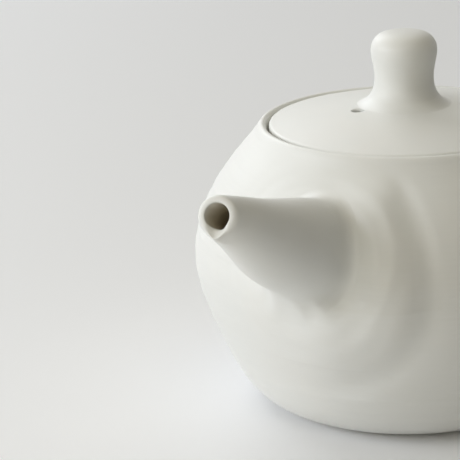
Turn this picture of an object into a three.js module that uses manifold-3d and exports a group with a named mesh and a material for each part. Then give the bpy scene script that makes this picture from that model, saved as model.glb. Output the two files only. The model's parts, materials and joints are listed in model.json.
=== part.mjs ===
// Side-handled kyusu in white porcelain: a round pot with a tapering spout and a hollow side handle,
// a pierced strainer inside the spout, and a low domed lid with a thumb-shaped knob.
// Millimetres, +Z up. The origin is the centre of the flat foot, the spout points to -Y and the handle to +X.

import * as THREE from 'three';
import { mergeVertices } from 'three/addons/utils/BufferGeometryUtils.js';
import Module from 'manifold-3d';

const wasm = await Module();
wasm.setup();

// Pot
const wall = 3.2;
const footRadius = 31.2;
const bellyRadius = 52;
const bellyHeight = 36.5;
const rimHeight = 69.5;
const rimOuterRadius = 35.9;
const rimInnerRadius = 33.5;
const floorHeight = 4.4;

// Lid seat and neck
const seatHeight = 66;
const neckRadius = 28.9;
const neckBottom = 63.2;

// Lid: its heights are above the seat
const lidRadius = 32.7;
const domeRadius = 31.8;
const domeEdge = rimHeight - seatHeight;
const domeRise = 4.5;
const lidThickness = 3.1;
const skirtOuterRadius = 28.3;
const skirtInnerRadius = 25.7;
const skirtDepth = 5.7;
const ventRadius = 1.5;
const ventPlace = new THREE.Vector2(-7.3, -10.5);

// Knob: its heights are above the crown of the lid
const knobHeight = 17.3;
const knobRadius = 8;
const knobWaistRadius = 6.9;
const knobFlareRadius = 10.5;

// Spout: its axis runs from the root, inside the pot, to the middle of the mouth
const spoutSlope = 30;
const spoutTip = new THREE.Vector3(0, -87.2, 69.4);
const spoutLength = 50;
const passageRadius = 8.6;
const mouthTilt = 14;

// Handle: its axis starts inside the pot
const handleSlope = 15;
const handleRoot = new THREE.Vector3(44, 0, 40);
const handleLength = 74;

// Strainer: a dome round a point on the spout's axis, with rings of holes
const strainerRadius = 15.5;
const strainerThickness = 2;
const strainerCentre = 8;
const strainerRings = 4;
const strainerRingStep = 12;
const strainerHoleRadius = 0.9;
const strainerHoleSides = 6;

const gap = 0.3;
const potSegments = 40;
const smallSegments = 24;

const v2 = (radius, height) => new THREE.Vector2(radius, height);
const radians = THREE.MathUtils.degToRad;

// Closed triangle mesh to solid, with the slivers at a lathe's poles left out
function solidOf(geometry) {
  const bare = geometry.clone();
  bare.deleteAttribute('normal');
  bare.deleteAttribute('uv');
  const merged = mergeVertices(bare, 1e-4);
  const corners = merged.index.array;
  const triangles = [];
  for (let i = 0; i < corners.length; i += 3) {
    const [a, b, c] = corners.slice(i, i + 3);
    if (a !== b && b !== c && c !== a) {
      triangles.push(a, b, c);
    }
  }
  return new wasm.Manifold(new wasm.Mesh({
    numProp: 3,
    vertProperties: new Float32Array(merged.attributes.position.array),
    triVerts: new Uint32Array(triangles),
  }));
}

function geometryOf(solid) {
  const mesh = solid.getMesh();
  const geometry = new THREE.BufferGeometry();
  geometry.setAttribute('position', new THREE.BufferAttribute(mesh.vertProperties, 3));
  geometry.setIndex(new THREE.BufferAttribute(mesh.triVerts, 1));
  geometry.computeVertexNormals();
  return geometry;
}

// A profile of (radius, height) points turned round the Z axis
function turned(profile, segments) {
  return new THREE.LatheGeometry(profile, segments).rotateX(Math.PI / 2);
}

// A solid round bar along Z
function bar(radius, low, high, sides) {
  return turned([v2(0, low), v2(radius, low), v2(radius, high), v2(0, high)], sides);
}

// The frame of a limb that leaves the pot along a direction
function limbFrame(origin, direction, side) {
  const across = new THREE.Vector3().crossVectors(direction, side);
  return new THREE.Matrix4().makeBasis(side, across, direction).setPosition(origin);
}

function curve(points, steps) {
  return new THREE.SplineCurve(points).getPoints(steps);
}

// The pot's outside from the foot to the shoulder, grown outwards by a margin
function outerWall(margin) {
  const reach = 1 + margin / bellyRadius;
  return curve([
    v2(footRadius + 0.8, 0.3),
    v2(35.2, 1.5),
    v2(38.2, 3.6),
    v2(42.6, 9.6),
    v2(45.9, 16.5),
    v2(49.7, 25.8),
    v2(bellyRadius, bellyHeight),
    v2(50.4, 46.2),
    v2(45.7, 55.8),
    v2(40, 63.2),
    v2(rimOuterRadius, 68.4),
  ].map((p) => v2(p.x * reach, p.y)), 20);
}

// The pot's inside from under the neck down to the floor, shrunk by a margin
function innerWall(margin) {
  const reach = 1 - margin / bellyRadius;
  return curve([
    v2(32.6, 61.7),
    v2(37.6, 59.2),
    v2(43, 53.8),
    v2(47.3, 45.2),
    v2(bellyRadius - wall, bellyHeight),
    v2(46.5, 26.7),
    v2(42.6, 17.6),
    v2(38, 10.9),
    v2(32.5, 6.6),
    v2(22, floorHeight),
  ].map((p) => v2(p.x * reach, p.y)), 15);
}

function bodyGeometry(spoutFrame) {
  const profile = [
    v2(0, 0),
    v2(footRadius, 0),
    ...outerWall(0),
    v2(35.4, 69.2),
    v2(34.9, rimHeight),
    v2(34.3, 69.3),
    v2(33.7, 68.6),
    v2(rimInnerRadius, 67.8),
    v2(rimInnerRadius, seatHeight),
    v2(neckRadius + 0.3, seatHeight),
    v2(neckRadius, seatHeight - 0.4),
    v2(neckRadius, neckBottom),
    ...innerWall(0),
    v2(0, floorHeight),
  ];
  const passage = bar(passageRadius, -12, 14, smallSegments).applyMatrix4(spoutFrame);
  return geometryOf(solidOf(turned(profile, potSegments)).subtract(solidOf(passage)));
}

// The space that the pot fills, with the gap that the limbs keep to it, in a limb's own frame
function potEnvelope(frame) {
  const profile = [v2(0, 0), ...outerWall(gap), v2(0, rimHeight)];
  return solidOf(turned(profile, potSegments).applyMatrix4(frame.clone().invert()));
}

function spoutGeometry(frame) {
  const outside = curve([
    v2(14.4, 0),
    v2(13, 4.5),
    v2(11.7, 10),
    v2(10.6, 18),
    v2(9.3, 26),
    v2(7.8, 34),
    v2(6.1, 42),
    v2(4.5, spoutLength + 0.6),
  ], 12);
  const inside = curve([
    v2(3, spoutLength + 0.6),
    v2(4.2, 42),
    v2(5.4, 34),
    v2(6.5, 26),
    v2(7.6, 18),
    v2(passageRadius, 9),
    v2(passageRadius, 0),
  ], 9);
  const lip = v2(3.8, spoutLength + 1.2);
  const tube = turned([...outside, lip, ...inside, outside[0].clone()], smallSegments);
  const trim = new THREE.BoxGeometry(30, 30, 20).translate(0, 0, 10);
  trim.rotateX(radians(-mouthTilt)).translate(0, 0, spoutLength);
  return geometryOf(solidOf(tube).subtract(potEnvelope(frame)).subtract(solidOf(trim)));
}

function handleGeometry(frame) {
  const outside = curve([
    v2(13.2, 3),
    v2(11.1, 8),
    v2(9.4, 14),
    v2(8.7, 22),
    v2(8.9, 35),
    v2(9.9, 50),
    v2(11.1, 64),
    v2(10.9, 70.5),
    v2(9.6, handleLength - 0.4),
  ], 15);
  const inside = curve([
    v2(8.1, handleLength - 0.6),
    v2(7.7, 71),
    v2(8, 64),
    v2(6.9, 50),
    v2(6.1, 35),
    v2(5.9, 22),
    v2(5.9, 3),
  ], 8);
  const lip = v2(8.9, handleLength);
  const tube = turned([...outside, lip, ...inside, outside[0].clone()], smallSegments);
  return geometryOf(solidOf(tube).subtract(potEnvelope(frame)));
}

// A pierced cap of a sphere against the inside of the wall, in the spout's frame
function strainerGeometry(frame) {
  const cavity = [v2(0, floorHeight + gap), ...innerWall(gap).reverse(), v2(0, neckBottom)];
  const room = turned(cavity, potSegments).applyMatrix4(frame.clone().invert());
  const shell = [strainerRadius, strainerRadius - strainerThickness].map((radius) => (
    solidOf(new THREE.SphereGeometry(radius, smallSegments, smallSegments / 2).rotateX(-Math.PI / 2)
      .translate(0, 0, strainerCentre))
  ));
  let dome = shell[0].subtract(shell[1]).intersect(solidOf(room));
  for (let ring = 0; ring <= strainerRings; ring += 1) {
    const holes = ring === 0 ? 1 : 6 * ring;
    for (let i = 0; i < holes; i += 1) {
      const hole = bar(strainerHoleRadius, -strainerRadius - 1, -strainerRadius / 2, strainerHoleSides);
      hole.rotateX(radians(ring * strainerRingStep)).rotateZ((2 * Math.PI * i) / holes);
      dome = dome.subtract(solidOf(hole.translate(0, 0, strainerCentre)));
    }
  }
  return geometryOf(dome);
}

// Height of the lid's dome above the seat at a radius
function domeHeight(radius) {
  const sphere = (domeRise ** 2 + domeRadius ** 2) / (2 * domeRise);
  return domeEdge + domeRise - sphere + Math.sqrt(sphere ** 2 - radius ** 2);
}

function lidGeometry() {
  const steps = 6;
  const round = 0.6;
  const radii = Array.from({ length: steps + 1 }, (_, i) => (domeRadius * i) / steps);
  const top = radii.map((radius) => v2(radius, domeHeight(radius)));
  const below = radii.filter((radius) => radius < skirtInnerRadius - 2)
    .map((radius) => v2(radius, domeHeight(radius) - lidThickness));
  const profile = [
    ...below,
    v2(skirtInnerRadius - round, domeHeight(skirtInnerRadius) - lidThickness - round),
    v2(skirtInnerRadius, gap - round),
    v2(skirtInnerRadius, gap + round - skirtDepth),
    v2(skirtInnerRadius + round, gap - skirtDepth),
    v2(skirtOuterRadius - round, gap - skirtDepth),
    v2(skirtOuterRadius, gap + round - skirtDepth),
    v2(skirtOuterRadius, gap),
    v2(lidRadius, gap),
    v2(lidRadius, domeEdge - 1.3),
    v2(lidRadius - 0.4, domeEdge - 0.5),
    ...top.reverse(),
  ];
  const vent = bar(ventRadius, 0, domeEdge + 2 * domeRise, smallSegments / 2)
    .translate(ventPlace.x, ventPlace.y, 0);
  return geometryOf(solidOf(turned(profile, potSegments)).subtract(solidOf(vent)));
}

function knobGeometry() {
  const under = [0, 0.5, 1].map((part) => part * knobFlareRadius)
    .map((radius) => v2(radius, domeHeight(radius) - domeHeight(0) + gap));
  const side = curve([
    v2(knobFlareRadius, under[2].y + 0.3),
    v2(7.9, 2.3),
    v2(knobWaistRadius, 5.6),
    v2(7.4, 9.3),
    v2(knobRadius, 12.6),
    v2(7, 15.2),
    v2(4.2, 16.8),
    v2(0, knobHeight),
  ], 14);
  return geometryOf(solidOf(turned([...under, ...side], smallSegments)));
}

function porcelain(colour, roughness) {
  return new THREE.MeshStandardMaterial({ color: colour, roughness, metalness: 0 });
}

function piece(name, geometry, material) {
  const mesh = new THREE.Mesh(geometry, material);
  mesh.name = name;
  return mesh;
}

// A limb's mesh, made in its own frame and placed on the pot
function limb(name, frame, geometry, material) {
  const mesh = piece(name, geometry, material);
  frame.decompose(mesh.position, mesh.quaternion, mesh.scale);
  return mesh;
}

const spoutWay = new THREE.Vector3(0, -Math.cos(radians(spoutSlope)), Math.sin(radians(spoutSlope)));
const spoutRoot = spoutTip.clone().addScaledVector(spoutWay, -spoutLength);
const spoutFrame = limbFrame(spoutRoot, spoutWay, new THREE.Vector3(1, 0, 0));
const handleWay = new THREE.Vector3(Math.cos(radians(handleSlope)), 0, Math.sin(radians(handleSlope)));
const handleFrame = limbFrame(handleRoot, handleWay, new THREE.Vector3(0, 1, 0));

const pot = new THREE.Group();
pot.add(
  piece('body', bodyGeometry(spoutFrame), porcelain(0xe9e8e2, 0.35)),
  limb('spout', spoutFrame, spoutGeometry(spoutFrame), porcelain(0xe8e7e1, 0.35)),
  limb('strainer', spoutFrame, strainerGeometry(spoutFrame), porcelain(0xe4e2d9, 0.5)),
  limb('handle', handleFrame, handleGeometry(handleFrame), porcelain(0xe8e7e1, 0.35)),
);

const lid = new THREE.Group();
const knob = piece('knob', knobGeometry(), porcelain(0xe8e7e1, 0.35));
knob.position.z = domeHeight(0);
lid.add(piece('lid', lidGeometry(), porcelain(0xe8e7e1, 0.35)), knob);
lid.position.z = seatHeight;

const kyusu = new THREE.Group();
kyusu.add(pot, lid);

export default kyusu;
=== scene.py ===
import json
import math
from bisect import bisect_left
from functools import reduce

import bmesh
import bpy
from bpy.props import FloatProperty, FloatVectorProperty, IntProperty, PointerProperty
from mathutils import Matrix, Vector, noise

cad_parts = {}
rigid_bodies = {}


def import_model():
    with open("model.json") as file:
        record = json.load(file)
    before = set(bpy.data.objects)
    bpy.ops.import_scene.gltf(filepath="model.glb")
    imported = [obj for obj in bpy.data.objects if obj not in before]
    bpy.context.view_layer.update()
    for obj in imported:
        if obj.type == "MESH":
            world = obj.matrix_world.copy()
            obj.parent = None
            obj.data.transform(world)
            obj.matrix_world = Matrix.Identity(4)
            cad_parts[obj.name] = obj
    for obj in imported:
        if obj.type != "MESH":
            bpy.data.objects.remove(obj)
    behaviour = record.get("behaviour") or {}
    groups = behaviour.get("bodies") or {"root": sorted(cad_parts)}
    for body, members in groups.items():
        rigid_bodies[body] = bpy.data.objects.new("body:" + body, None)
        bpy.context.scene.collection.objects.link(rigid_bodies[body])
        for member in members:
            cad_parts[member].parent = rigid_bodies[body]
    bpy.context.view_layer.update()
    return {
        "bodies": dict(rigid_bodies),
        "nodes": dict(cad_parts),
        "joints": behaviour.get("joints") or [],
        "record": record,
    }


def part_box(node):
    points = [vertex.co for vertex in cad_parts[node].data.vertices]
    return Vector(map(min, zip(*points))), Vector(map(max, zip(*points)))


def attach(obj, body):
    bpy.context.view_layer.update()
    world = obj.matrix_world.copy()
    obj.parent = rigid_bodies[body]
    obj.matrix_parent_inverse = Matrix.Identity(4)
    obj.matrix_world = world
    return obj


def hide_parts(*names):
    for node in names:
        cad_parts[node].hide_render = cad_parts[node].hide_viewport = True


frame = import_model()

bl_info = {
    "name": "Porcelain kyusu",
    "version": (1, 0, 0),
    "blender": (4, 5, 0),
    "location": "View3D > Sidebar > Kyusu",
    "description": "Makes a side-handled porcelain teapot piece by piece, with its glaze and a plain studio",
    "category": "Add Mesh",
}

MM = 0.001
FULL_TURN = 2 * math.pi

# A small step for reading slopes off a surface
PROBE = 0.0005

# The pot's outlines are (radius, height) in millimetres, drawn for this belly radius and rim height
DRAWN_RADIUS, DRAWN_HEIGHT = 52, 69.5
WALL_OUTSIDE = (
    (32, 0.25), (35.2, 1.5), (38.2, 3.6), (42.6, 9.6), (45.9, 16.5), (49.7, 25.8),
    (52, 36.5), (50.4, 46.2), (45.7, 55.8), (40, 63.2), (36.3, 67.8),
)
FOOT = ((0, 0.5), (14, 0.47), (23.5, 0.4), (26.6, 0.24), (27.4, 0.05), (27.7, 0))
RIM = ((35.5, 68.95), (34.9, 69.45), (34.3, 69.4), (33.75, 68.8), (33.5, 67.9))
WALL_INSIDE = (
    (28.9, 63.9), (29.9, 62.5), (32.6, 61.4), (37.6, 58.7), (43, 53.8), (47.3, 45.2),
    (48.8, 36.5), (46.5, 26.7), (42.6, 17.6), (38, 10.9), (32.5, 6.6), (22, 4.5), (0, 4.4),
)
# Limb outlines are (radius, distance along the limb's own axis) in millimetres
SPOUT_OUTSIDE = ((4.6, 48.8), (6.1, 42), (7.8, 34), (9.3, 26), (9.8, 19), (9.7, 12), (9.7, 2))
SPOUT_SLIM = ((4.6, 48.8), (6.1, 42), (7.8, 34), (9.1, 26), (9.3, 19), (9.3, 12), (9.4, 2))
SPOUT_CREST = ((4.6, 48.8), (6.1, 42), (7.8, 34), (9.9, 26), (12.2, 18), (14.2, 10), (15.6, 2))
SPOUT_INSIDE = ((2.85, 49.6), (3.2, 46), (4.4, 40), (5.8, 31), (7.4, 20), (8.6, 10))
HANDLE_OUTSIDE = (
    (10.1, 72.6), (10.9, 69.5), (11, 63), (9.9, 50), (8.9, 35), (8.7, 22), (9.1, 14), (9.8, 4),
)
HANDLE_INSIDE = ((8.3, 73), (7.8, 70), (7.9, 64), (6.9, 50), (6.1, 35), (5.9, 22), (5.9, 12))
# The knob's outline is (radius, height above the lid's crown) in millimetres, from the flare up
KNOB_OUTSIDE = (
    (9.4, 0.5), (8.1, 2), (7.3, 4.2), (7.15, 6.2), (7.5, 9.3), (8, 12.4),
    (7.7, 14.4), (6.4, 16.1), (3.8, 17.1), (0, 17.3),
)


class PotSettings(bpy.types.PropertyGroup):
    """Sizes of the pot's body."""

    belly_radius: FloatProperty(
        name="Belly radius", description="Largest radius of the pot",
        default=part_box("body")[1].x, unit="LENGTH",
    )
    rim_height: FloatProperty(
        name="Rim height", description="Height of the rim above the table",
        default=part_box("body")[1].z, unit="LENGTH",
    )
    seat_height: FloatProperty(
        name="Seat height", description="Height of the ledge that the lid rests on",
        default=0.066, unit="LENGTH",
    )
    seat_radius: FloatProperty(
        name="Seat radius", description="Radius of the wall round the lid seat",
        default=0.0335, unit="LENGTH",
    )
    neck_radius: FloatProperty(
        name="Neck radius", description="Radius of the opening under the lid",
        default=0.0289, unit="LENGTH",
    )
    foot_radius: FloatProperty(
        name="Foot radius", description="Outer radius of the bare ring that the pot stands on",
        default=0.0312, unit="LENGTH",
    )
    throwing_depth: FloatProperty(
        name="Throwing ring depth", description="Height of the soft rings left on the wall by throwing",
        default=0.00004, unit="LENGTH", precision=6,
    )
    wobble: FloatProperty(
        name="Wobble", description="How far the wall strays from a true circle",
        default=0.00012, unit="LENGTH", precision=6,
    )
    swelling: FloatProperty(
        name="Swelling", description="Rise of the wall round the spout",
        default=0.0023, unit="LENGTH",
    )
    segments: IntProperty(
        name="Segments", description="Steps round the pot", default=192,
    )


class LimbSettings(bpy.types.PropertyGroup):
    """Sizes and places of the spout and the handle."""

    spout_tip: FloatVectorProperty(
        name="Spout tip", description="Middle of the spout's mouth",
        default=(0, -0.0872, 0.0694), subtype="TRANSLATION", unit="LENGTH",
    )
    spout_slope: FloatProperty(
        name="Spout slope", description="Rise of the spout's axis",
        default=math.radians(30), subtype="ANGLE",
    )
    spout_length: FloatProperty(
        name="Spout length", description="From the root inside the pot to the mouth",
        default=0.05, unit="LENGTH",
    )
    passage_radius: FloatProperty(
        name="Passage radius", description="Radius of the way from the pot into the spout",
        default=0.0086, unit="LENGTH",
    )
    handle_root: FloatVectorProperty(
        name="Handle root", description="Start of the handle's axis, inside the pot",
        default=(0.044, 0, 0.04), subtype="TRANSLATION", unit="LENGTH",
    )
    handle_slope: FloatProperty(
        name="Handle slope", description="Rise of the handle's axis",
        default=math.radians(15), subtype="ANGLE",
    )
    handle_length: FloatProperty(
        name="Handle length", description="From the root inside the pot to the open end",
        default=0.074, unit="LENGTH",
    )
    segments: IntProperty(
        name="Segments", description="Steps round a limb", default=96,
    )


class StrainerSettings(bpy.types.PropertyGroup):
    """Sizes of the pierced dome behind the spout."""

    radius: FloatProperty(
        name="Radius", description="Outer radius of the dome", default=0.0155, unit="LENGTH",
    )
    thickness: FloatProperty(
        name="Thickness", description="Thickness of the dome", default=0.002, unit="LENGTH",
    )
    centre: FloatProperty(
        name="Centre", description="Centre of the dome along the spout's axis",
        default=0.008, unit="LENGTH",
    )
    hole_radius: FloatProperty(
        name="Hole radius", description="Radius of each hole", default=0.0009, unit="LENGTH",
    )
    ring_step: FloatProperty(
        name="Ring step", description="Angle from one ring of holes to the next",
        default=math.radians(12), subtype="ANGLE",
    )
    rings: IntProperty(name="Rings", description="Rings of holes round the middle one", default=4)


class LidSettings(bpy.types.PropertyGroup):
    """Sizes of the lid and its knob."""

    radius: FloatProperty(
        name="Lid radius", description="Outer radius of the lid", default=0.033, unit="LENGTH",
    )
    edge_height: FloatProperty(
        name="Edge height", description="Height of the dome's edge above the seat",
        default=0.0035, unit="LENGTH",
    )
    rise: FloatProperty(
        name="Rise", description="Height of the crown above the dome's edge",
        default=0.0045, unit="LENGTH",
    )
    thickness: FloatProperty(
        name="Thickness", description="Thickness of the dome", default=0.0031, unit="LENGTH",
    )
    skirt_radius: FloatProperty(
        name="Skirt radius", description="Outer radius of the ring that keeps the lid in place",
        default=0.0283, unit="LENGTH",
    )
    skirt_depth: FloatProperty(
        name="Skirt depth", description="How far the ring reaches below the lid",
        default=0.0057, unit="LENGTH",
    )
    clearance: FloatProperty(
        name="Clearance", description="Gap between the lid and its seat",
        default=0.0003, unit="LENGTH",
    )
    vent_radius: FloatProperty(
        name="Vent radius", description="Radius of the air hole", default=0.0015, unit="LENGTH",
    )
    vent_place: FloatVectorProperty(
        name="Vent place", description="Where the air hole is, from the lid's middle",
        size=2, default=(-0.0073, -0.0105), subtype="TRANSLATION", unit="LENGTH",
    )
    segments: IntProperty(name="Segments", description="Steps round the lid", default=160)


class GlazeSettings(bpy.types.PropertyGroup):
    """Colours and gloss of the porcelain."""

    thin_colour: FloatVectorProperty(
        name="Thin glaze", description="Colour where the glaze is thin",
        size=4, default=(0.825, 0.825, 0.795, 1), subtype="COLOR", min=0, max=1,
    )
    thick_colour: FloatVectorProperty(
        name="Thick glaze", description="Colour where the glaze has pooled",
        size=4, default=(0.795, 0.805, 0.785, 1), subtype="COLOR", min=0, max=1,
    )
    clay_colour: FloatVectorProperty(
        name="Bare clay", description="Colour of the unglazed foot, seat and skirt",
        size=4, default=(0.76, 0.74, 0.69, 1), subtype="COLOR", min=0, max=1,
    )
    # Painted shade: a warm colour that the spout's bore darkens to deep inside, standing in for the shade
    # there
    bore_shade_colour: FloatVectorProperty(
        name="Spout bore", description="Warmer colour deep inside the spout, where tea runs",
        size=4, default=(0.72, 0.64, 0.48, 1), subtype="COLOR", min=0, max=1,
    )
    roughness: FloatProperty(
        name="Glaze roughness", description="Roughness of the satin glaze",
        default=0.5, min=0, max=1, subtype="FACTOR",
    )
    coat: FloatProperty(
        name="Coat", description="Strength of the clear layer on the glaze",
        default=0.14, min=0, max=1, subtype="FACTOR",
    )
    coat_roughness: FloatProperty(
        name="Coat roughness", description="Roughness of the clear layer",
        default=0.32, min=0, max=1, subtype="FACTOR",
    )


class StageSettings(bpy.types.PropertyGroup):
    """Camera, floor and light."""

    camera_azimuth: FloatProperty(
        name="Camera azimuth", description="Direction of the camera, turned from the spout's side",
        default=math.radians(26.2), subtype="ANGLE",
    )
    camera_distance: FloatProperty(
        name="Camera distance", description="Level distance from the camera to the pot's axis",
        default=0.5, unit="LENGTH",
    )
    camera_height: FloatProperty(
        name="Camera height", description="Height of the camera above the table",
        default=0.1984, unit="LENGTH",
    )
    camera_pitch: FloatProperty(
        name="Camera pitch", description="How far the camera looks down", default=0.303, subtype="ANGLE",
    )
    camera_yaw: FloatProperty(
        name="Camera yaw", description="How far the camera looks left of the pot's axis",
        default=0.0867, subtype="ANGLE",
    )
    camera_roll: FloatProperty(
        name="Camera roll", description="Turn of the camera about its own axis",
        default=-0.0343, subtype="ANGLE",
    )
    camera_lens: FloatProperty(
        name="Lens", description="Focal length on a 36 mm sensor, in millimetres", default=165.5,
    )
    floor_size: FloatProperty(
        name="Floor size", description="Width of the floor", default=6, unit="LENGTH",
    )
    floor_colour: FloatVectorProperty(
        name="Floor colour", description="Colour of the plain floor",
        size=4, default=(0.93, 0.935, 0.95, 1), subtype="COLOR", min=0, max=1,
    )
    backdrop_colour: FloatVectorProperty(
        name="Backdrop colour", description="Pale colour seen past the floor",
        size=4, default=(0.74, 0.74, 0.725, 1), subtype="COLOR", min=0, max=1,
    )
    window_power: FloatProperty(
        name="Window power", description="Power of the soft lamp on the left", default=3.2, unit="POWER",
    )
    back_power: FloatProperty(
        name="Back power", description="Power of the lamp behind on the left", default=6.5, unit="POWER",
    )
    front_power: FloatProperty(
        name="Front power", description="Power of the low lamp in front on the left", default=3, unit="POWER",
    )
    overhead_power: FloatProperty(
        name="Overhead power", description="Power of the wide lamp overhead", default=9.3, unit="POWER",
    )


def natural_spline(points, steps):
    """Evenly stepped points on a natural cubic spline through (radius, height) points."""
    knots = [0.0]
    for here, there in zip(points, points[1:]):
        knots.append(knots[-1] + math.dist(here, there))
    spans = [b - a for a, b in zip(knots, knots[1:])]
    bends = [second_derivatives([p[axis] for p in points], spans) for axis in (0, 1)]
    curve = []
    for step in range(steps + 1):
        at = knots[-1] * step / steps
        i = min(max(bisect_left(knots, at) - 1, 0), len(spans) - 1)
        b = (at - knots[i]) / spans[i]
        a = 1 - b
        lift = spans[i] ** 2 / 6
        curve.append(tuple(
            a * points[i][axis] + b * points[i + 1][axis]
            + ((a ** 3 - a) * bends[axis][i] + (b ** 3 - b) * bends[axis][i + 1]) * lift
            for axis in (0, 1)
        ))
    return curve


def second_derivatives(values, spans):
    """Second derivatives of a natural cubic spline at its knots."""
    count = len(values)
    upper, right = [0.0] * count, [0.0] * count
    for i in range(1, count - 1):
        low, high = spans[i - 1], spans[i]
        pull = 6 * ((values[i + 1] - values[i]) / high - (values[i] - values[i - 1]) / low)
        pivot = 2 * (low + high) - low * upper[i - 1]
        upper[i] = high / pivot
        right[i] = (pull - low * right[i - 1]) / pivot
    bends = [0.0] * count
    for i in range(count - 2, 0, -1):
        bends[i] = right[i] - upper[i] * bends[i + 1]
    return bends


def arc(centre, radius, start, end, steps):
    """Points on an arc, with its angles in degrees from the outward direction."""
    turns = [math.radians(start + (end - start) * i / steps) for i in range(steps + 1)]
    return [(centre[0] + radius * math.cos(a), centre[1] + radius * math.sin(a)) for a in turns]


def millimetres(outline):
    return [(radius * MM, height * MM) for radius, height in outline]


def smoothstep(low, high, value):
    share = min(max((value - low) / (high - low), 0), 1)
    return share * share * (3 - 2 * share)


def put_in_order(elements, place):
    """Sorts a shape's vertices, edges or faces by place, as merging leaves them in no fixed order."""
    for rank, element in enumerate(sorted(elements, key=place)):
        element.index = rank
    elements.sort()


def spun(outline, segments, closed=False):
    """A shape turned about Z, with each vertex's place in the outline kept in its ring layer."""
    shape = bmesh.new()
    ring = shape.verts.layers.int.new("ring")
    verts = []
    for index, (radius, height) in enumerate(outline):
        vert = shape.verts.new((radius, 0, height))
        vert[ring] = index
        verts.append(vert)
    edges = [shape.edges.new(pair) for pair in zip(verts, verts[1:])]
    if closed:
        edges.append(shape.edges.new((verts[-1], verts[0])))
    bmesh.ops.spin(
        shape, geom=verts + edges, axis=(0, 0, 1), cent=(0, 0, 0),
        angle=FULL_TURN, steps=segments, use_merge=True,
    )
    bmesh.ops.remove_doubles(shape, verts=shape.verts, dist=1e-7)
    bmesh.ops.recalc_face_normals(shape, faces=shape.faces)
    put_in_order(shape.verts, lambda vert: (vert[ring], math.atan2(vert.co.y, vert.co.x)))
    for elements in (shape.edges, shape.faces):
        put_in_order(elements, lambda element: sorted(vert.index for vert in element.verts))
    return shape


def finished(shape, name, material=None):
    """A smooth object made from a bmesh, in the frame of the pot."""
    bmesh.ops.recalc_face_normals(shape, faces=shape.faces)
    mesh = bpy.data.meshes.new(name)
    shape.to_mesh(mesh)
    shape.free()
    piece = bpy.data.objects.new(name, mesh)
    bpy.context.scene.collection.objects.link(piece)
    if material:
        mesh.materials.append(material)
    soften(piece)
    return piece


def soften(piece):
    """Smooth shading, with the edges over 40 degrees kept crisp."""
    piece.data.shade_smooth()
    piece.data.set_sharp_from_angle(angle=math.radians(40))


def carved(piece, tool, operation):
    """The piece cut by, or cut down to, a tool shape, which is used up."""
    modifier = piece.modifiers.new("Carve", "BOOLEAN")
    modifier.operation = operation
    modifier.solver = "EXACT"
    modifier.object = tool
    graph = bpy.context.evaluated_depsgraph_get()
    mesh = bpy.data.meshes.new_from_object(piece.evaluated_get(graph), depsgraph=graph)
    piece.modifiers.remove(modifier)
    old = piece.data
    piece.data = mesh
    bpy.data.meshes.remove(old)
    bpy.data.objects.remove(tool)
    mesh.name = piece.name
    soften(piece)


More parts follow.
